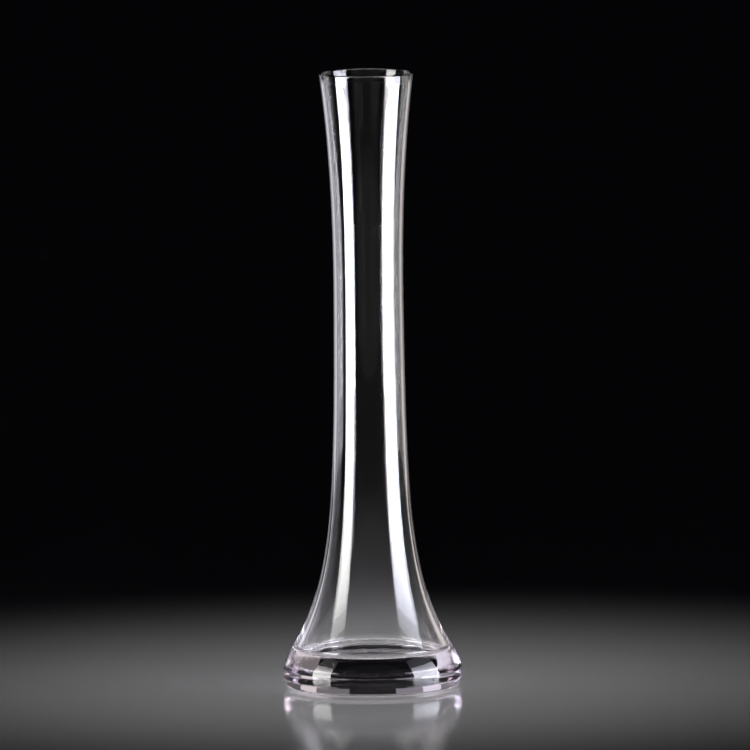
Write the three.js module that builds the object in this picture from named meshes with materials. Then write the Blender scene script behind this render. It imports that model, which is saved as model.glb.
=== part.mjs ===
// A tall bud vase in clear glass: a slim neck with a slightly flared mouth, a foot that flares
// wide, and a heavy solid base. It is taken to be worked from two gathers of glass, one piece each:
// the blown body (the bubble: neck, flare and cavity) and the heavy base that it is bedded in.
// Millimetres, +Z up. The table is z = 0, and the vase is round about the Z axis.

import * as THREE from 'three';

// ---- Driving dimensions -----------------------------------------------------------------------

// Outside of the blown body
const HEIGHT = 400; // table to the top of the lip
const MOUTH_RADIUS = 30.6; // at the lip
const WAIST_RADIUS = 22.4; // at the slimmest place of the neck
const WAIST_HEIGHT = 250; // above it the mouth starts to open
const MOUTH_POWER = 2.4; // how late the mouth opens: 1 is a straight cone
const FLARE_LENGTH = 46.5; // height over which the foot's flare falls to 37% of its width

// Outside of the heavy base
const BULGE_RADIUS = 57.9; // the widest place of the vase
const UPRIGHT_LOW = 8; // between these two heights the side stands upright
const UPRIGHT_HIGH = 11.5;
const FOOT_INSET = 5; // from the widest place in to the flat ring it stands on
const FOOT_RING = 8; // width of that flat ring
const UNDERSIDE_HOLLOW = 1.5; // how far the middle of the underside stands clear of the table

// Glass thickness, measured square to the outside
const LIP_WALL = 1.8;
const NECK_WALL = 2.6;
const FLARE_WALL = 6; // at the shoulder

// Cavity floor, which is also the depth of the solid base, and the corner that joins it to the wall
const FLOOR_HEIGHT = 21;
const CORNER_HEIGHT = 8.3; // above the floor, where the corner starts on the wall
const CORNER_REACH = 8; // how far the corner runs in over the floor

// The shoulder, where the flare runs into the base's round side
const SHOULDER_RISE = 6; // above the cavity floor
const SHOULDER_INSET = 6.1; // in from the widest place

// The joint between the two gathers
const BUBBLE_SKIN = 5.5; // the body's own glass under the cavity floor
const SEAM_SHARE = 0.4; // place of the joint on the base's round side, 0 at the shoulder
const BED_REACH = 10; // length of the bend from the bed's sloping rim to its flat middle
const GAP = 0.3; // clearance between the two pieces

// Facets
const SEGMENTS = 48; // round the axis; a multiple of 4 puts the full radius on X and Y
const NECK_STEPS = 22;
const CURVE_STEPS = 6; // in each short curve of a section

// ---- Sizes that follow from those -------------------------------------------------------------

const SHOULDER_HEIGHT = FLOOR_HEIGHT + SHOULDER_RISE;
const SHOULDER_RADIUS = BULGE_RADIUS - SHOULDER_INSET;
const FOOT_RADIUS = BULGE_RADIUS - FOOT_INSET;
const BED_HEIGHT = FLOOR_HEIGHT - BUBBLE_SKIN;

// ---- The outside of the body, as a function of height -----------------------------------------

// 0 at the waist and 1 at the mouth.
function mouthShare(height) {
  return Math.max(0, (height - WAIST_HEIGHT) / (HEIGHT - WAIST_HEIGHT)) ** MOUTH_POWER;
}

// 1 at the shoulder, fading up the neck.
function flareShare(height) {
  return Math.exp((SHOULDER_HEIGHT - height) / FLARE_LENGTH);
}

// A size that goes from its mouth and shoulder values to its neck value.
function alongBody(mouth, neck, shoulder, height) {
  return neck + (mouth - neck) * mouthShare(height) + (shoulder - neck) * flareShare(height);
}

function outsideRadius(height) {
  return alongBody(MOUTH_RADIUS, WAIST_RADIUS, SHOULDER_RADIUS, height);
}

function wallThickness(height) {
  return alongBody(LIP_WALL, NECK_WALL, FLARE_WALL, height);
}

// Unit vector square to the outside, pointing away from the glass.
function outwardNormal(height) {
  const step = 0.01;
  const slope = (outsideRadius(height + step) - outsideRadius(height - step)) / (2 * step);
  return new THREE.Vector2(1, -slope).normalize();
}

function pointOutside(height) {
  return new THREE.Vector2(outsideRadius(height), height);
}

function pointInside(height) {
  const depth = wallThickness(height);
  return pointOutside(height).addScaledVector(outwardNormal(height), -depth);
}

// Heights up the body, close together in the flare and wide apart in the neck.
function heightsBetween(low, high) {
  const crowding = 1.6;
  const heights = [];
  for (let i = 0; i <= NECK_STEPS; i += 1) {
    heights.push(low + (high - low) * (i / NECK_STEPS) ** crowding);
  }
  return heights;
}

// ---- Shared curves of the section: x is the radius, y the height ------------------------------

const roundSide = new THREE.QuadraticBezierCurve(
  pointOutside(SHOULDER_HEIGHT),
  shoulderTangentAtBulge(),
  new THREE.Vector2(BULGE_RADIUS, UPRIGHT_HIGH),
);

// Where the flare's own tangent at the shoulder meets the upright at the widest place.
function shoulderTangentAtBulge() {
  const normal = outwardNormal(SHOULDER_HEIGHT);
  const drop = (BULGE_RADIUS - outsideRadius(SHOULDER_HEIGHT)) * (normal.x / normal.y);
  return new THREE.Vector2(BULGE_RADIUS, SHOULDER_HEIGHT - drop);
}

function partOfRoundSide(fromShare, toShare) {
  const points = [];
  for (let i = 0; i <= CURVE_STEPS; i += 1) {
    points.push(roundSide.getPointAt(THREE.MathUtils.lerp(fromShare, toShare, i / CURVE_STEPS)));
  }
  return points;
}

// The bed between the gathers: in from the round side, square to it, then flat to the axis.
function bed(share, flatHeight) {
  const rim = roundSide.getPointAt(share);
  const tangent = roundSide.getTangentAt(share);
  const inward = new THREE.Vector2(tangent.y, -tangent.x);
  const bend = rim.clone().addScaledVector(inward, (flatHeight - rim.y) / inward.y);
  const flat = new THREE.Vector2(bend.x - BED_REACH, flatHeight);
  const curve = new THREE.QuadraticBezierCurve(rim, bend, flat);
  return [...curve.getPoints(CURVE_STEPS), new THREE.Vector2(0, flatHeight)];
}

// The half-round, fire-polished lip, from the outside of the wall over to the inside.
function lip(height) {
  const outer = pointOutside(height);
  const centre = outer.clone().add(pointInside(height)).multiplyScalar(0.5);
  const points = [];
  for (let i = 1; i < CURVE_STEPS; i += 1) {
    points.push(outer.clone().rotateAround(centre, (Math.PI * i) / CURVE_STEPS));
  }
  return points;
}

// The cavity's corner and floor, from the wall in to the axis.
function cavityFloor(wallHeight) {
  const top = pointInside(wallHeight);
  const normal = outwardNormal(wallHeight);
  const along = (top.y - FLOOR_HEIGHT) * (normal.y / normal.x);
  const corner = new THREE.Vector2(top.x + along, FLOOR_HEIGHT);
  const floorEdge = new THREE.Vector2(corner.x - CORNER_REACH, FLOOR_HEIGHT);
  const curve = new THREE.QuadraticBezierCurve(top, corner, floorEdge);
  return [...curve.getPoints(CURVE_STEPS).slice(1), new THREE.Vector2(0, FLOOR_HEIGHT)];
}

// ---- The two pieces ---------------------------------------------------------------------------

function revolved(section) {
  return new THREE.LatheGeometry(section, SEGMENTS).rotateX(Math.PI / 2);
}

// The bubble: an open, thin-walled body with the cavity inside it.
function blownBody() {
  const lipBase = HEIGHT - (LIP_WALL / 2) * (1 - outwardNormal(HEIGHT).y);
  const cornerTop = FLOOR_HEIGHT + CORNER_HEIGHT;
  return revolved([
    ...bed(SEAM_SHARE, BED_HEIGHT).reverse(),
    ...partOfRoundSide(0, SEAM_SHARE).reverse().slice(1),
    ...heightsBetween(SHOULDER_HEIGHT, lipBase).slice(1).map(pointOutside),
    ...lip(lipBase),
    ...heightsBetween(cornerTop, lipBase).reverse().map(pointInside),
    ...cavityFloor(cornerTop),
  ]);
}

// The solid base: a flat foot ring, a round side and a bed for the body.
function heavyBase() {
  const ringInner = FOOT_RADIUS - FOOT_RING;
  const underside = new THREE.QuadraticBezierCurve(
    new THREE.Vector2(0, UNDERSIDE_HOLLOW),
    new THREE.Vector2(ringInner / 2, UNDERSIDE_HOLLOW),
    new THREE.Vector2(ringInner, 0),
  );
  const footEdge = new THREE.QuadraticBezierCurve(
    new THREE.Vector2(FOOT_RADIUS, 0),
    new THREE.Vector2(BULGE_RADIUS, 0),
    new THREE.Vector2(BULGE_RADIUS, UPRIGHT_LOW),
  );
  const seam = SEAM_SHARE + GAP / roundSide.getLength();
  return revolved([
    ...underside.getPoints(CURVE_STEPS),
    ...footEdge.getPoints(CURVE_STEPS),
    ...partOfRoundSide(seam, 1).reverse(),
    ...bed(seam, BED_HEIGHT - GAP).slice(1),
  ]);
}

// ---- The vase ---------------------------------------------------------------------------------

function clearGlass(colour) {
  return new THREE.MeshStandardMaterial({
    color: colour,
    roughness: 0.04,
    metalness: 0,
    transparent: true,
    opacity: 0.35,
    side: THREE.DoubleSide,
  });
}

function namedMesh(name, geometry, material) {
  const mesh = new THREE.Mesh(geometry, material);
  mesh.name = name;
  return mesh;
}

const vase = new THREE.Group();
vase.add(namedMesh('blown_body', blownBody(), clearGlass(0xf2f5f6)));
vase.add(namedMesh('heavy_base', heavyBase(), clearGlass(0xefebf3)));

export default vase;
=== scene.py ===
# %% [markdown]
# # A tall bud vase in clear glass
#
# This lesson builds a glass bud vase in Blender, round a frame that a CAD model has already fixed.
# The vase is a slim blown neck that flares into a wide foot with a heavy, solid base. Nothing on
# it moves. What makes it hard is that it is clear: you never see glass itself, only what it
# mirrors and what it bends. So the lesson spends its effort on three things: a section with a true
# inside and outside, a glass that behaves like glass, and lights that draw its shape.

# %% Load the frame
import math

import bmesh
import bpy
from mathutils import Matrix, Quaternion, Vector


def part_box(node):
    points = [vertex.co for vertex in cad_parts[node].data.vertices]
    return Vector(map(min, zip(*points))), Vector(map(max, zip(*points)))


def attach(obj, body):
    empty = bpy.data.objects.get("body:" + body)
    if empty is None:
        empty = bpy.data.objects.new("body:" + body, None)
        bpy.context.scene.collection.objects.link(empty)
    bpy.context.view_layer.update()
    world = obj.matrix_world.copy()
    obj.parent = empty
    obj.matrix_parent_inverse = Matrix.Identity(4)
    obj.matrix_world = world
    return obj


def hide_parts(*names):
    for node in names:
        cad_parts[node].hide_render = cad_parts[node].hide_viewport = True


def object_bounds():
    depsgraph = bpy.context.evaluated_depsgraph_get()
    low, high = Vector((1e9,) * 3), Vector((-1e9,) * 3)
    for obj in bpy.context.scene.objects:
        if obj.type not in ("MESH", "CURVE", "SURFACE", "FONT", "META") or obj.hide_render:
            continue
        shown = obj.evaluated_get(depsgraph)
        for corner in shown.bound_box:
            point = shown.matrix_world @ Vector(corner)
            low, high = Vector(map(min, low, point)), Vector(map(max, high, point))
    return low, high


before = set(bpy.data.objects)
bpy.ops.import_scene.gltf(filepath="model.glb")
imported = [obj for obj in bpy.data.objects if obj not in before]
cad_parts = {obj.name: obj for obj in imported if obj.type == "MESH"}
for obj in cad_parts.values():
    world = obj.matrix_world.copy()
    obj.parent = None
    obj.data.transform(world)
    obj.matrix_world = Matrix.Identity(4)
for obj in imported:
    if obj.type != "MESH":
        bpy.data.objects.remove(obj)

cad_box = [list(corner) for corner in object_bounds()]
print("CAD box in metres:", cad_box)

# %% [markdown]
# ## The sizes
#
# All sizes are in metres. The big ones come from the frame, so the vase stays the size the CAD
# says: its height and its widest radius from the whole box, and the cavity floor from where the
# blown body starts. The small ones, such as glass thickness, are a glassblower's numbers.

# %% Driving sizes
MM = 0.001

HEIGHT = cad_box[1][2]
BULGE_RADIUS = cad_box[1][0]
BUBBLE_SKIN = 5.5 * MM
FLOOR_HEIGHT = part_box("blown_body")[0][2] + BUBBLE_SKIN

MOUTH_RADIUS = 30.6 * MM
WAIST_RADIUS = 22.4 * MM
WAIST_HEIGHT = 250 * MM
MOUTH_POWER = 2.4
FLARE_LENGTH = 46.5 * MM

SHOULDER_HEIGHT = FLOOR_HEIGHT + 6 * MM
SHOULDER_RADIUS = BULGE_RADIUS - 6.1 * MM
UPRIGHT_LOW = 8 * MM
UPRIGHT_HIGH = 11.5 * MM
FOOT_RADIUS = BULGE_RADIUS - 5 * MM
FOOT_RING = 8 * MM
UNDERSIDE_HOLLOW = 1.5 * MM

LIP_WALL = 1.8 * MM
NECK_WALL = 2.6 * MM
FLARE_WALL = 6.0 * MM
CORNER_HEIGHT = 8.3 * MM
CORNER_REACH = 8 * MM

print(f"{HEIGHT / MM:.1f} mm tall, {2 * BULGE_RADIUS / MM:.1f} mm across the base")

# %% [markdown]
# ## The rule for the wall
#
# A vase of revolution is one outline turned about its axis. The outline has to go all the way
# round the glass, outside and inside, because light bends once when it enters the wall and once
# more when it leaves it. A single skin would look like a soap bubble, and Blender's Solidify would
# give one thickness everywhere. Here the wall thins towards the lip and thickens into the base, so
# it is written as a rule instead: two shares, one that grows towards the mouth and one that fades
# up from the foot, set both the radius and the thickness at every height.

# %% The radius and the thickness at any height
SLOPE_STEP = 0.01 * MM


def mouth_share(height):
    """0 at the waist and below, 1 at the mouth."""
    return max(0.0, (height - WAIST_HEIGHT) / (HEIGHT - WAIST_HEIGHT)) ** MOUTH_POWER


def flare_share(height):
    """1 at the shoulder, fading up the neck."""
    return math.exp((SHOULDER_HEIGHT - height) / FLARE_LENGTH)


def along_wall(mouth, neck, shoulder, height):
    return neck + (mouth - neck) * mouth_share(height) + (shoulder - neck) * flare_share(height)


def outside(height):
    """The point of the outside at this height, as (radius, height)."""
    return Vector((along_wall(MOUTH_RADIUS, WAIST_RADIUS, SHOULDER_RADIUS, height), height))


def outward(height):
    """Unit vector square to the outside, pointing away from the glass."""
    along = outside(height + SLOPE_STEP) - outside(height - SLOPE_STEP)
    return Vector((along.y, -along.x)).normalized()


def inside(height):
    thickness = along_wall(LIP_WALL, NECK_WALL, FLARE_WALL, height)
    return outside(height) - outward(height) * thickness


print(f"outside radius at the waist: {outside(WAIST_HEIGHT).x / MM:.2f} mm")

# %% [markdown]
# ## The bends between the walls
#
# The short stretches that join those two walls are round: the fire-polished lip, the corner of the
# cavity, the base's bulging side and the edge of the foot. Each is a bend from one straight into
# another, and a quadratic curve through the crossing of the two straights is the simplest one that
# leaves no kink. A kink would show: glass draws every change of slope as a hard line.

# %% Helpers for the section
def even_steps(low, high, steps):
    return [low + (high - low) * i / steps for i in range(steps + 1)]


def crowded_steps(low, high, steps, crowding=1.6):
    """Heights up the wall, close together where it flares and wide apart in the neck."""
    return [low + (high - low) * share ** crowding for share in even_steps(0, 1, steps)]


def bend(start, crossing, end, steps):
    """A curve from start to end that leaves and arrives along the lines through crossing."""
    points = []
    for t in even_steps(0, 1, steps):
        points.append(start * (1 - t) ** 2 + crossing * 2 * t * (1 - t) + end * t ** 2)
    return points


def half_round(outer, inner, steps):
    """The lip: half a circle from the outer to the inner edge of the wall, over the top."""
    centre = (outer + inner) / 2
    arm = outer - centre
    across = Vector((-arm.y, arm.x))
    turns = even_steps(0, math.pi, steps)[1:-1]
    return [centre + arm * math.cos(turn) + across * math.sin(turn) for turn in turns]


sample_bend = bend(Vector((0, 0)), Vector((1, 0)), Vector((1, 1)), 4)
print("a bend in 4 steps has", len(sample_bend), "points")

# %% [markdown]
# ## Drawing the section
#
# The section starts in the middle of the underside, runs out over the foot and up the outside to
# the lip, then down the inside and in over the cavity's floor to the axis. The underside is a
# little hollow, so the vase stands on a ring and can't rock. On the floor of the cavity there are
# faint rings, which the closing of the bubble leaves in the glass as it is turned.

# %% Outside of the section
WALL_STEPS = 90
BEND_STEPS = 20
UPRIGHT_STEPS = 5


def foot_and_side():
    """From the middle of the underside out to the foot and up the round side to the shoulder."""
    ring_inner = FOOT_RADIUS - FOOT_RING
    hollow = bend(Vector((0, UNDERSIDE_HOLLOW)), Vector((ring_inner / 2, UNDERSIDE_HOLLOW)),
                  Vector((ring_inner, 0)), BEND_STEPS)
    foot_edge = bend(Vector((FOOT_RADIUS, 0)), Vector((BULGE_RADIUS, 0)),
                     Vector((BULGE_RADIUS, UPRIGHT_LOW)), BEND_STEPS)
    upright = [Vector((BULGE_RADIUS, height))
               for height in even_steps(UPRIGHT_LOW, UPRIGHT_HIGH, UPRIGHT_STEPS)]
    normal = outward(SHOULDER_HEIGHT)
    drop = (BULGE_RADIUS - SHOULDER_RADIUS) * normal.x / normal.y
    side = bend(Vector((BULGE_RADIUS, UPRIGHT_HIGH)),
                Vector((BULGE_RADIUS, SHOULDER_HEIGHT - drop)),
                outside(SHOULDER_HEIGHT), BEND_STEPS)
    return hollow + foot_edge + upright[1:] + side[1:]


lip_height = HEIGHT - LIP_WALL / 2 * (1 - outward(HEIGHT).y)
outer_wall = [outside(h) for h in crowded_steps(SHOULDER_HEIGHT, lip_height, WALL_STEPS)]
outer_section = foot_and_side() + outer_wall[1:]
print(len(outer_section), "points outside")

# %% Inside of the section
FLOOR_STEPS = 60
RING_DEPTH = 0.04 * MM
RING_SPACING = 8.2 * MM


def floor_ripple(radius):
    """Faint rings that the closing of the bubble leaves on the cavity floor."""
    return RING_DEPTH * math.cos(2 * math.pi * radius / RING_SPACING)


def corner_and_floor(foot, low):
    """The cavity's corner and its floor, from the foot of the inner wall in to the axis."""
    normal = outward(low)
    reach = (foot.y - FLOOR_HEIGHT) * normal.y / normal.x
    crossing = Vector((foot.x + reach, FLOOR_HEIGHT))
    floor_edge = Vector((crossing.x - CORNER_REACH, FLOOR_HEIGHT))
    corner = bend(foot, crossing, floor_edge, BEND_STEPS)
    radii = even_steps(floor_edge.x, 0, FLOOR_STEPS)[1:]
    return corner[1:] + [Vector((r, FLOOR_HEIGHT + floor_ripple(r))) for r in radii]


corner_top = FLOOR_HEIGHT + CORNER_HEIGHT
inner_wall = [inside(h) for h in reversed(crowded_steps(corner_top, lip_height, WALL_STEPS))]
inner_section = inner_wall + corner_and_floor(inner_wall[-1], corner_top)
print(len(inner_section), "points inside")

# %% Join them over the lip
LIP_STEPS = 16
lip = half_round(outer_wall[-1], inner_wall[0], LIP_STEPS)
section = outer_section + lip + inner_section
print(len(section), "points in the section")

# %% [markdown]
# ## How far the glass may wander
#
# A machined section would give reflections with ruler-straight edges. Blown glass never has them:
# the wall sways a little as the bubble is drawn out, and it is least even at the bottom of the
# cavity, where the hot glass was pushed and turned. So every point of the section carries a
# number, how far it may wander from its place, and a noise pattern later moves it by at most that.
# The foot gets none, because it was ground flat and has to stand still on a table.

# %% A wander for every point of the section
NECK_WANDER = 0.15 * MM
FLOOR_WANDER = 0.30 * MM
WANDER_REACH = 14 * MM


def wander_outside(point):
    """None at the foot, growing to the neck's full wander above the shoulder."""
    return NECK_WANDER * min(1.0, point.y / (2 * SHOULDER_HEIGHT))


def wander_inside(point):
    """The most on the cavity's floor, fading to the neck's own over the height of the corner."""
    low = math.exp((FLOOR_HEIGHT - point.y) / WANDER_REACH)
    return NECK_WANDER + (FLOOR_WANDER - NECK_WANDER) * low


wander = [wander_outside(point) for point in outer_section]
wander += [NECK_WANDER for point in lip]
wander += [wander_inside(point) for point in inner_section]
print(f"wander: {min(wander) / MM:.2f} to {max(wander) / MM:.2f} mm")

# %% [markdown]
# ## A tree that turns the section
#
# Blender's Screw modifier or bmesh's spin would turn the outline too. Geometry Nodes does it here,
# because the turning is a rule that can be read: a grid has one row for each point of the section
# and one column for each facet round the axis, and each vertex looks up its section point and is
# turned to its column's angle. The seam and the two poles close with Merge by Distance. The same
# tree then moves each vertex by a noise pattern, as far as its wander allows.

# %% Node helpers
def add_node(tree, kind, **settings):
    node = tree.nodes.new(kind)
    for name, value in settings.items():
        setattr(node, name, value)
    return node


def feed(tree, socket, value):
    """Links a socket into this one, or sets its number or colour."""
    if isinstance(value, bpy.types.NodeSocket):
        tree.links.new(value, socket)
    else:
        socket.default_value = value


def calculate(tree, operation, first, second):
    """A Math node; each side is a socket or a number. Returns its output."""
    node = add_node(tree, "ShaderNodeMath", operation=operation)
    feed(tree, node.inputs[0], first)
    feed(tree, node.inputs[1], second)
    return node.outputs[0]


def add_inputs(tree, kind, **defaults):
    """Named number inputs on a node group, with the values they start from."""
    for name, value in defaults.items():
        label = name.replace("_", " ").capitalize()
        socket = tree.interface.new_socket(label, in_out="INPUT", socket_type=kind)
        socket.default_value = value


# %% First half: place every vertex on its turned section point
def turned_grid(tree, given):
    """A grid bent into the vase. Returns its geometry and the row that each vertex is in."""
    link = tree.links.new
    size = add_node(tree, "GeometryNodeAttributeDomainSize", component="MESH")
    link(given.outputs["Section"], size.inputs["Geometry"])
    columns = calculate(tree, "ADD", given.outputs["Facets"], 1)
    grid = add_node(tree, "GeometryNodeMeshGrid")
    link(size.outputs["Point Count"], grid.inputs["Vertices X"])
    link(columns, grid.inputs["Vertices Y"])

    index = add_node(tree, "GeometryNodeInputIndex").outputs[0]
    middle = calculate(tree, "ADD", index, 0.5)
    row = calculate(tree, "FLOOR", calculate(tree, "DIVIDE", middle, columns), 0)
    column = calculate(tree, "SUBTRACT", index, calculate(tree, "MULTIPLY", row, columns))
    full_turn = calculate(tree, "MULTIPLY", column, -2 * math.pi)
    angle = calculate(tree, "DIVIDE", full_turn, given.outputs["Facets"])

    look_up = add_node(tree, "GeometryNodeSampleIndex", data_type="FLOAT_VECTOR", domain="POINT")
    link(given.outputs["Section"], look_up.inputs["Geometry"])
    link(add_node(tree, "GeometryNodeInputPosition").outputs[0], look_up.inputs["Value"])
    link(row, look_up.inputs["Index"])
    turn = add_node(tree, "ShaderNodeVectorRotate", rotation_type="Z_AXIS")
    link(look_up.outputs[0], turn.inputs["Vector"])
    link(angle, turn.inputs["Angle"])
    place = add_node(tree, "GeometryNodeSetPosition")
    link(grid.outputs["Mesh"], place.inputs["Geometry"])
    link(turn.outputs[0], place.inputs["Position"])
    return place.outputs[0], row


# %% Second half: let each vertex wander
def wandering(tree, given, geometry, row):
    """Moves each vertex sideways and up by noise, as far as its section point's wander says."""
    link = tree.links.new
    allowed = add_node(tree, "GeometryNodeSampleIndex", data_type="FLOAT", domain="POINT")
    link(given.outputs["Section"], allowed.inputs["Geometry"])
    name = add_node(tree, "GeometryNodeInputNamedAttribute", data_type="FLOAT")
    name.inputs["Name"].default_value = "wander"
    link(name.outputs["Attribute"], allowed.inputs["Value"])
    link(row, allowed.inputs["Index"])

    noise = add_node(tree, "ShaderNodeTexNoise", noise_dimensions="4D")
    noise.inputs["Detail"].default_value = 1.0
    link(given.outputs["Wander scale"], noise.inputs["Scale"])
    link(given.outputs["Seed"], noise.inputs["W"])
    centred = add_node(tree, "ShaderNodeVectorMath", operation="SUBTRACT")
    link(noise.outputs["Color"], centred.inputs[0])
    centred.inputs[1].default_value = (0.5, 0.5, 0.5)
    scaled = add_node(tree, "ShaderNodeVectorMath", operation="SCALE")
    link(centred.outputs[0], scaled.inputs[0])
    link(allowed.outputs[0], scaled.inputs["Scale"])
    moved = add_node(tree, "GeometryNodeSetPosition")
    link(geometry, moved.inputs["Geometry"])
    link(scaled.outputs[0], moved.inputs["Offset"])
    return moved.outputs[0]


# %% The whole tree
def turned_glass_tree():
    tree = bpy.data.node_groups.new("Turned glass", "GeometryNodeTree")
    face = tree.interface
    face.new_socket("Section", in_out="INPUT", socket_type="NodeSocketGeometry")
    add_inputs(tree, "NodeSocketInt", facets=192)
    add_inputs(tree, "NodeSocketFloat", weld=1e-6, wander_scale=20.0, seed=0.0)
    face.new_socket("Glass", in_out="INPUT", socket_type="NodeSocketMaterial")
    face.new_socket("Vase", in_out="OUTPUT", socket_type="NodeSocketGeometry")
    given = add_node(tree, "NodeGroupInput")
    made = add_node(tree, "NodeGroupOutput")
    link = tree.links.new

    placed, row = turned_grid(tree, given)
    wandered = wandering(tree, given, placed, row)
    weld = add_node(tree, "GeometryNodeMergeByDistance")
    link(wandered, weld.inputs["Geometry"])
    link(given.outputs["Weld"], weld.inputs["Distance"])
    smooth = add_node(tree, "GeometryNodeSetShadeSmooth")
    link(weld.outputs[0], smooth.inputs["Geometry"])
    whole = add_node(tree, "GeometryNodeRealizeInstances")
    link(smooth.outputs[0], whole.inputs["Geometry"])
    skin = add_node(tree, "GeometryNodeSetMaterial")
    link(whole.outputs[0], skin.inputs["Geometry"])
    link(given.outputs["Glass"], skin.inputs["Material"])
    link(skin.outputs[0], made.inputs["Vase"])
    return tree


turned_glass = turned_glass_tree()
print("tree made:", turned_glass.name, "with", len(turned_glass.nodes), "nodes")

# %% [markdown]
# ## Marks that a surface picks up
#
# No glass stays as clean as it leaves the fire. Fingers and cloths leave a thin, cloudy film in
# patches, and dust settles as tiny specks. The floor of a studio picks up the same two marks. An
# effect that two finishes share is best made once, as a shader node group with named inputs, and
# placed in each material with its own values. The group gives two masks, from 0 to 1: where the
# film lies, and where the specks are. What a mask does to the surface is the material's business.

# %% The group for film and specks
FILM_EDGE = 0.25
BARE_AT = 0.85


def marks_group():
    group = bpy.data.node_groups.new("Handling marks", "ShaderNodeTree")
    face = group.interface
    face.new_socket("Place", in_out="INPUT", socket_type="NodeSocketVector")
    add_inputs(group, "NodeSocketFloat", film_scale=25.0, film_cover=0.5, speck_scale=900.0,
               speck_size=0.12)
    face.new_socket("Film", in_out="OUTPUT", socket_type="NodeSocketFloat")
    face.new_socket("Specks", in_out="OUTPUT", socket_type="NodeSocketFloat")
    given = add_node(group, "NodeGroupInput")
    made = add_node(group, "NodeGroupOutput")
    link = group.links.new

    cloud = add_node(group, "ShaderNodeTexNoise")
    cloud.inputs["Detail"].default_value = 6.0
    cloud.inputs["Roughness"].default_value = 0.62
    cloud.inputs["Distortion"].default_value = 0.6
    link(given.outputs["Place"], cloud.inputs["Vector"])
    link(given.outputs["Film scale"], cloud.inputs["Scale"])
    film = add_node(group, "ShaderNodeMapRange", interpolation_type="SMOOTHSTEP")
    link(cloud.outputs["Fac"], film.inputs["Value"])
    half_cover = calculate(group, "MULTIPLY", 0.5, given.outputs["Film cover"])
    bare = calculate(group, "SUBTRACT", BARE_AT, half_cover)
    link(calculate(group, "SUBTRACT", bare, FILM_EDGE), film.inputs["From Min"])
    link(bare, film.inputs["From Max"])
    link(film.outputs[0], made.inputs["Film"])

    cells = add_node(group, "ShaderNodeTexVoronoi", feature="F1")
    link(given.outputs["Place"], cells.inputs["Vector"])
    link(given.outputs["Speck scale"], cells.inputs["Scale"])
    speck = calculate(group, "LESS_THAN", cells.outputs["Distance"], given.outputs["Speck size"])
    link(speck, made.inputs["Specks"])
    return group


marks = marks_group()
print("group made:", marks.name, [item.name for item in marks.interface.items_tree])

# %% [markdown]
# ## Drawn glass
#
# When a gob of glass is pulled into a neck, any unevenness in it is stretched into long, faint
# lines along the neck, which glassmakers call cords. They are too shallow to feel, but they make
# the edge of a reflection shiver. A noise pattern squeezed along the axis gives them: many lines
# round the neck, each one long. They are bump and not geometry, because they are a few thousandths
# of a millimetre deep. The ground foot ring is the other finish: where the vase stands, sliding on
# tables has frosted it.

# %% The group for drawn lines and the worn foot
SCUFF_SCALE = 1500.0


def drawn_group():
    group = bpy.data.node_groups.new("Drawn glass", "ShaderNodeTree")
    face = group.interface
    face.new_socket("Place", in_out="INPUT", socket_type="NodeSocketVector")
    add_inputs(group, "NodeSocketFloat", lines_across=260.0, lines_along=9.0, worn_height=0.0004)
    face.new_socket("Lines", in_out="OUTPUT", socket_type="NodeSocketFloat")
    face.new_socket("Worn", in_out="OUTPUT", socket_type="NodeSocketFloat")
    given = add_node(group, "NodeGroupInput")
    made = add_node(group, "NodeGroupOutput")
    link = group.links.new

    stretch = add_node(group, "ShaderNodeCombineXYZ")
    link(given.outputs["Lines across"], stretch.inputs["X"])
    link(given.outputs["Lines across"], stretch.inputs["Y"])
    link(given.outputs["Lines along"], stretch.inputs["Z"])
    drawn = add_node(group, "ShaderNodeVectorMath", operation="MULTIPLY")
    link(given.outputs["Place"], drawn.inputs[0])
    link(stretch.outputs[0], drawn.inputs[1])
    noise = add_node(group, "ShaderNodeTexNoise")
    noise.inputs["Scale"].default_value = 1.0
    noise.inputs["Detail"].default_value = 3.0
    link(drawn.outputs[0], noise.inputs["Vector"])
    link(noise.outputs["Fac"], made.inputs["Lines"])

    parts = add_node(group, "ShaderNodeSeparateXYZ")
    link(given.outputs["Place"], parts.inputs[0])
    touching = calculate(group, "LESS_THAN", parts.outputs["Z"], given.outputs["Worn height"])
    scuffs = add_node(group, "ShaderNodeTexNoise")
    scuffs.inputs["Scale"].default_value = SCUFF_SCALE
    scuffs.inputs["Detail"].default_value = 4.0
    link(given.outputs["Place"], scuffs.inputs["Vector"])
    link(calculate(group, "MULTIPLY", touching, scuffs.outputs["Fac"]), made.inputs["Worn"])
    return group


drawn = drawn_group()
print("group made:", drawn.name, [item.name for item in drawn.interface.items_tree])

# %% [markdown]
# ## The glass
#
# Clear glass is one Principled BSDF with Transmission Weight at 1 and the index of refraction of
# soda-lime glass, 1.52. The colour of glass lies in its depth, not on its skin, so the tint is a
# Volume Absorption: thin neck walls stay colourless and only the thick base shows a trace of
# lilac, as a little manganese in the glass would give. The marks reach the surface
# as roughness and as a very small bump.

# %% Helpers for materials
def place_group(tree, group, **values):
    """Puts a node group in a material, reading Object coordinates, with its own values."""
    node = add_node(tree, "ShaderNodeGroup", node_tree=group)
    place = add_node(tree, "ShaderNodeTexCoord")
    tree.links.new(place.outputs["Object"], node.inputs["Place"])
    for name, value in values.items():
        node.inputs[name.replace("_", " ").capitalize()].default_value = value
    return node


def blend_number(tree, share, low, high):
    """low where the mask is 0, high where it is 1."""
    node = add_node(tree, "ShaderNodeMapRange")
    tree.links.new(share, node.inputs["Value"])
    node.inputs["To Min"].default_value = low
    feed(tree, node.inputs["To Max"], high)
    return node.outputs[0]


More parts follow.
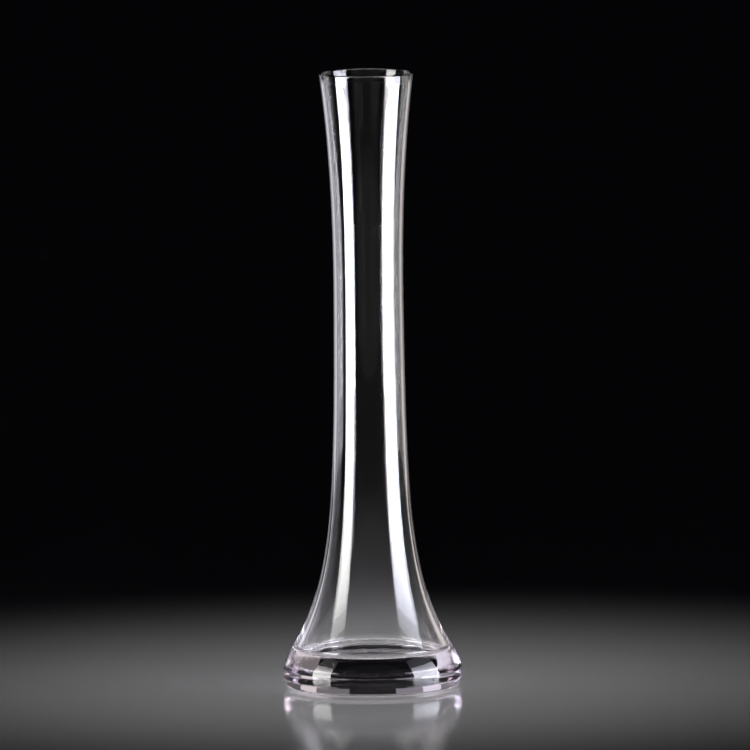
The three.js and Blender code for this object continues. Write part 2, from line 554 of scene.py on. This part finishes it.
# %% Glass material
GLASS_IOR = 1.52
FILM_ROUGHNESS = 0.022
SPECK_ROUGHNESS = 0.35
WORN_ROUGHNESS = 0.3
LINE_DEPTH = 0.008 * MM
TINT = (0.93, 0.86, 0.93, 1)
TINT_DENSITY = 9.0


def clear_glass():
    material = bpy.data.materials.new("vase_glass")
    material.use_nodes = True
    tree = material.node_tree
    shader = tree.nodes["Principled BSDF"]
    shader.inputs["Base Color"].default_value = (1, 1, 1, 1)
    shader.inputs["IOR"].default_value = GLASS_IOR
    shader.inputs["Transmission Weight"].default_value = 1.0

    touched = place_group(tree, marks, film_scale=32.0, film_cover=0.45, speck_scale=420.0,
                          speck_size=0.045)
    pulled = place_group(tree, drawn)
    film = blend_number(tree, touched.outputs["Film"], 0.0, FILM_ROUGHNESS)
    dusty = calculate(tree, "MULTIPLY", touched.outputs["Specks"], SPECK_ROUGHNESS)
    frosted = calculate(tree, "MULTIPLY", pulled.outputs["Worn"], WORN_ROUGHNESS)
    marked = calculate(tree, "MAXIMUM", film, dusty)
    rough = calculate(tree, "MAXIMUM", marked, frosted)
    tree.links.new(rough, shader.inputs["Roughness"])

    bump = add_node(tree, "ShaderNodeBump")
    bump.inputs["Strength"].default_value = 1.0
    bump.inputs["Distance"].default_value = LINE_DEPTH
    tree.links.new(pulled.outputs["Lines"], bump.inputs["Height"])
    tree.links.new(bump.outputs[0], shader.inputs["Normal"])

    depth = add_node(tree, "ShaderNodeVolumeAbsorption")
    depth.inputs["Color"].default_value = TINT
    depth.inputs["Density"].default_value = TINT_DENSITY
    tree.links.new(depth.outputs[0], tree.nodes["Material Output"].inputs["Volume"])
    return material


glass = clear_glass()
print("material made:", glass.name, "with", len(glass.node_tree.nodes), "nodes")

# %% [markdown]
# ## Turning the vase
#
# The section goes into the tree as a chain of edges that carries its wander. The result is made a
# plain mesh, so the vase no longer depends on the tree. In the CAD the vase is two solids, the
# blown body and the base it is bedded in, with a hair's gap between them. In the real vase the two
# gathers are fused, and a gap would show as a silver line, so here one body of glass replaces both.

# %% Turn the section
FACETS = 192
SEED = 3.0


def section_object(points, reach):
    mesh = bpy.data.meshes.new("section")
    chain = [(i, i + 1) for i in range(len(points) - 1)]
    mesh.from_pydata([(p.x, 0, p.y) for p in points], chain, [])
    attribute = mesh.attributes.new("wander", "FLOAT", "POINT")
    attribute.data.foreach_set("value", reach)
    ob = bpy.data.objects.new("section", mesh)
    bpy.context.scene.collection.objects.link(ob)
    return ob


def set_input(modifier, name, value):
    """Sets a Geometry Nodes input by its socket's identifier."""
    for item in modifier.node_group.interface.items_tree:
        if item.item_type == "SOCKET" and item.in_out == "INPUT" and item.name == name:
            modifier[item.identifier] = value
            return
    raise KeyError(name)


def turned(name, source, **inputs):
    """A plain mesh object: the source's section turned about the Z axis."""
    modifier = source.modifiers.new("Turn", "NODES")
    modifier.node_group = turned_glass
    for socket, value in inputs.items():
        set_input(modifier, socket.replace("_", " ").capitalize(), value)
    evaluated = source.evaluated_get(bpy.context.evaluated_depsgraph_get())
    mesh = bpy.data.meshes.new_from_object(evaluated)
    mesh.name = name
    source.modifiers.remove(modifier)
    bpy.data.objects.remove(source)
    ob = bpy.data.objects.new(name, mesh)
    bpy.context.scene.collection.objects.link(ob)
    return ob


vase = turned("vase_glass", section_object(section, wander), facets=FACETS, seed=SEED, glass=glass)
print(len(vase.data.polygons), "faces")

# %% Check that it is one closed body with its faces outwards
check = bmesh.new()
check.from_mesh(vase.data)
open_edges = sum(1 for edge in check.edges if not edge.is_manifold)
volume = check.calc_volume(signed=True)
check.free()
print(f"open edges: {open_edges}; glass: {volume * 1e6:.0f} cubic centimetres")

# %% Hand the vase to the frame
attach(vase, "root")
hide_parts("blown_body", "heavy_base")

# %% [markdown]
# ## The floor
#
# Glass is shown on something plain, so that nothing shows through it but its own shape.
# The floor is a big pale disc of lacquered board: glossy enough to give the vase a faint double,
# with a slight mottle so that it doesn't read as empty. It lies a hair under the foot. A second
# disc of the same board lies just under it. The camera sees only the upper one and the vase only
# the lower one, so the softboxes can be mirrored in the floor as the vase sees it, without
# leaving white blocks in the floor as the camera sees it.

# %% Floor material
BOARD = (0.66, 0.66, 0.67, 1)
SCUFFED_BOARD = (0.63, 0.63, 0.645, 1)
BOARD_ROUGHNESS = 0.07
SCUFFED_ROUGHNESS = 0.11


def pale_floor():
    material = bpy.data.materials.new("pale_floor")
    material.use_nodes = True
    tree = material.node_tree
    shader = tree.nodes["Principled BSDF"]
    scuffed = place_group(tree, marks, film_scale=3.0, film_cover=0.6, speck_scale=160.0,
                          speck_size=0.03)
    mottle = add_node(tree, "ShaderNodeMix", data_type="RGBA")
    tree.links.new(scuffed.outputs["Film"], mottle.inputs["Factor"])
    mottle.inputs["A"].default_value = BOARD
    mottle.inputs["B"].default_value = SCUFFED_BOARD
    tree.links.new(mottle.outputs["Result"], shader.inputs["Base Color"])
    rough = blend_number(tree, scuffed.outputs["Film"], BOARD_ROUGHNESS, SCUFFED_ROUGHNESS)
    tree.links.new(rough, shader.inputs["Roughness"])
    return material


# %% Floor disc
FLOOR_SIZE = 12.0
FLOOR_SIDES = 64
FLOOR_DROP = 0.3 * MM
MIRROR_SIZE = 3.0
MIRROR_DROP = 0.4 * MM


def disc(name, radius, sides, height, material):
    turns = even_steps(0, 2 * math.pi, sides)[:-1]
    ring = [(radius * math.cos(turn), radius * math.sin(turn), height) for turn in turns]
    mesh = bpy.data.meshes.new(name)
    mesh.from_pydata(ring, [], [list(range(sides))])
    mesh.materials.append(material)
    ob = bpy.data.objects.new(name, mesh)
    bpy.context.scene.collection.objects.link(ob)
    return ob


board = pale_floor()
floor = disc("floor", FLOOR_SIZE, FLOOR_SIDES, -FLOOR_DROP, board)
mirror = disc("mirror", MIRROR_SIZE, FLOOR_SIDES, -MIRROR_DROP, board)
mirror.visible_camera = False
floor.visible_glossy = False
floor.visible_transmission = False
floor.visible_diffuse = False
floor.visible_shadow = False
print("floor", 2 * FLOOR_SIZE, "m across; mirror disc", 2 * MIRROR_SIZE, "m")

# %% [markdown]
# ## The studio
#
# Light falls through clear glass and leaves no shading, so the vase can't be lit as a solid thing
# is. What draws it are the pictures of bright panels in its skin, against a dark room. Two tall
# softboxes stand in front, one on each side: each gives one long white strip down the neck. Pale
# walls further back are what the edges of the glass bend the view towards, so they keep the
# outline from sinking into the dark. Every panel is seen by the vase alone, which is done with
# light linking, so the floor and the room stay calm. Only the mirror disc shows the softboxes
# too, because the foot looks down at it, and even that isn't brightened by them.

# %% A dark room
ROOM = (0.0015, 0.0015, 0.002, 1)
world = bpy.data.worlds.new("dark room")
bpy.context.scene.world = world
world.use_nodes = True
world.node_tree.nodes["Background"].inputs["Color"].default_value = ROOM
print("room colour", ROOM)


# %% Who sees which light
def group_of(name, *objects):
    collection = bpy.data.collections.new(name)
    for ob in objects:
        collection.objects.link(ob)
    return collection


only_vase = group_of("lit by the panels", vase)
both_floors = group_of("lit by the pool", floor, mirror)
vase_and_mirror = group_of("mirrors the softboxes", vase, mirror)
only_floor = group_of("blocks the pool", mirror)

# %% [markdown]
# ## The panels
#
# A panel is told by what the vase sees of it: the azimuths that it fills, counted from the front
# and growing to the right, its lower and upper edge, and how bright it is there. Brightness is
# radiance, the same unit as the picture, so a panel of radiance 10 mirrored in glass that sends
# back a twentieth shows as 0.5. The softboxes are brighter at the foot than at the top, because
# the lamp inside sits low.

# %% Panel maker
def glow(light, bottom, top):
    """Lets an area light shine with one strength at its lower edge and another at its upper."""
    light.use_nodes = True
    tree = light.node_tree
    place = add_node(tree, "ShaderNodeNewGeometry")
    parts = add_node(tree, "ShaderNodeSeparateXYZ")
    tree.links.new(place.outputs["Parametric"], parts.inputs[0])
    fade = blend_number(tree, parts.outputs["Y"], bottom, top)
    tree.links.new(fade, tree.nodes["Emission"].inputs["Strength"])


def area_light(name, width, height, colour, receivers):
    """A rectangle of light with radiance 1 that the camera doesn't see."""
    light = bpy.data.lights.new(name, "AREA")
    light.shape = "RECTANGLE"
    light.size = width
    light.size_y = height
    light.energy = math.pi * width * height
    light.color = colour
    ob = bpy.data.objects.new(name, light)
    ob.visible_camera = False
    ob.light_linking.receiver_collection = receivers
    bpy.context.scene.collection.objects.link(ob)
    return ob


def panel(name, sides, distance, low, high, radiance, colour, receivers):
    """An upright panel that fills the azimuths between its two sides, facing the vase.

    radiance is its brightness at the lower and at the upper edge.
    """
    middle = math.radians(sum(sides) / 2)
    half = math.radians(abs(sides[1] - sides[0]) / 2)
    ob = area_light(name, 2 * distance * math.tan(half), high - low, colour, receivers)
    glow(ob.data, *radiance)
    outwards = Vector((math.sin(middle), -math.cos(middle), 0))
    ob.location = outwards * distance + Vector((0, 0, (low + high) / 2))
    ob.rotation_euler = (-outwards).to_track_quat("-Z", "Y").to_euler()
    return ob


# %% Set up the panels
PLAIN = (1.0, 1.0, 0.98)
WARM = (1.0, 0.93, 0.91)
COOL = (0.86, 0.88, 1.0)
PALE_BLUE = (0.93, 0.91, 1.0)
SOFTBOX_AT = 1.3
WALL_AT = 1.4
SOFTBOX_TOP = 0.74
ROOM_TOP = 1.3
LEFT_BOX = (-55, -82)
RIGHT_BOX = (54, 94)

softboxes = [
    panel("left softbox", LEFT_BOX, SOFTBOX_AT, 0, SOFTBOX_TOP, (17, 3.4), PLAIN, vase_and_mirror),
    panel("right softbox", RIGHT_BOX, SOFTBOX_AT, 0, SOFTBOX_TOP, (20, 4), COOL, vase_and_mirror),
]
for softbox in softboxes:
    softbox.visible_diffuse = False

for name, sides, low, high, radiance, colour in (
        ("left spill", LEFT_BOX, SOFTBOX_TOP, ROOM_TOP, (0.9, 0.5), PLAIN),
        ("right spill", RIGHT_BOX, SOFTBOX_TOP, ROOM_TOP, (1.0, 0.7), COOL),
        ("left back", (-156, -170), 0, 0.35, (0.24, 0.24), PALE_BLUE),
        ("left corner", (-142, -156), 0, 0.35, (0.85, 0.85), PALE_BLUE),
        ("left wall", (-104, -142), 0, 0.35, (0.2, 0.2), PALE_BLUE),
        ("left wall top", (-118, -142), 0.35, 0.75, (0.9, 0.9), PALE_BLUE),
        ("left ceiling", (-110, -160), 0.75, ROOM_TOP, (1.0, 1.0), PALE_BLUE),
        ("right back", (152, 170), 0, 0.35, (0.16, 0.16), PLAIN),
        ("right corner", (138, 152), 0, 0.35, (0.75, 0.75), WARM),
        ("right wall", (108, 138), 0, 0.35, (0.08, 0.08), WARM),
        ("right wall top", (108, 152), 0.35, 0.75, (0.2, 0.2), WARM),
        ("right ceiling", (110, 160), 0.75, ROOM_TOP, (0.8, 0.8), WARM),
        ("front fill", (-40, 40), 0, ROOM_TOP, (0.06, 0.06), PLAIN)):
    panel(name, sides, WALL_AT, low, high, radiance, colour, only_vase)

# %% [markdown]
# ## Top light and the pool on the floor
#
# A panel overhead puts the bright ring on the lip. The floor has its own light: a soft pool from
# straight above, bright under the vase and fading out, so that the neck stands against the dark.
# Glass throws a hard shadow in a path tracer although it lets light through, so most of the pool
# passes the vase by, and a weaker second pool that it does block leaves a soft shadow.

# %% Top light
TOP_WIDTH = 2.4
TOP_DEPTH = 0.9
TOP_AT = 1.6
TOP_RADIANCE = 3.0
top = area_light("top panel", TOP_WIDTH, TOP_DEPTH, PLAIN, only_vase)
top.data.energy *= TOP_RADIANCE
top.location = (0, 0, TOP_AT)
print("top panel", TOP_WIDTH, "m wide at", TOP_AT, "m")


# %% Pool
POOL_AT = 2.0
POOL_SPREAD = math.radians(24)
POOL_SOFTNESS = 0.2


def pool(name, power, blockers=None):
    light = bpy.data.lights.new(name, "SPOT")
    light.energy = power
    light.spot_size = POOL_SPREAD
    light.spot_blend = 1.0
    light.shadow_soft_size = POOL_SOFTNESS
    ob = bpy.data.objects.new(name, light)
    ob.location = (0, 0, POOL_AT)
    ob.light_linking.receiver_collection = both_floors
    if blockers is not None:
        ob.light_linking.blocker_collection = blockers
    bpy.context.scene.collection.objects.link(ob)
    return ob


pool("pool past the glass", 50, only_floor)
pool("pool with a shadow", 20)

# %% [markdown]
# ## The camera
#
# A long lens from far away keeps the tall neck from tapering, as is usual for pictures of goods.
# It looks down by six degrees, which opens the mouth and the cavity floor into thin ellipses. Set
# the distance first, then choose the lens so that the frame is as wide as wanted at the vase. The
# camera leans by a fraction of a degree, as hand-set tripods do.

# %% Camera
SENSOR = 36
CAMERA_AT = 12.0
FRAME_WIDTH = 0.48605
ELEVATION = math.radians(6.0)
ROLL = math.radians(0.63)
TARGET = Vector((3.7 * MM, 0, 0.508 * HEIGHT))

camera_data = bpy.data.cameras.new("camera")
camera_data.sensor_width = SENSOR
camera_data.lens = SENSOR * CAMERA_AT / FRAME_WIDTH
camera = bpy.data.objects.new("camera", camera_data)
bpy.context.scene.collection.objects.link(camera)
bpy.context.scene.camera = camera
backwards = Vector((0, -math.cos(ELEVATION), math.sin(ELEVATION)))
camera.location = TARGET + CAMERA_AT * backwards
level = (-backwards).to_track_quat("-Z", "Y")
camera.rotation_euler = (level @ Quaternion((0, 0, 1), -ROLL)).to_euler()
print(f"lens {camera_data.lens:.0f} mm at {CAMERA_AT} m")

# %% [markdown]
# ## How light is followed
#
# Looking through the base, a ray crosses glass many times before it leaves, so Cycles is allowed
# more bounces than it gives by default. The Standard view keeps the white strips white.

# %% Bounces and view
cycles = bpy.context.scene.cycles
cycles.max_bounces = 24
cycles.transmission_bounces = 20
cycles.glossy_bounces = 12
cycles.sample_clamp_indirect = 20
bpy.context.scene.view_settings.view_transform = "Standard"
print("bounces:", cycles.max_bounces)
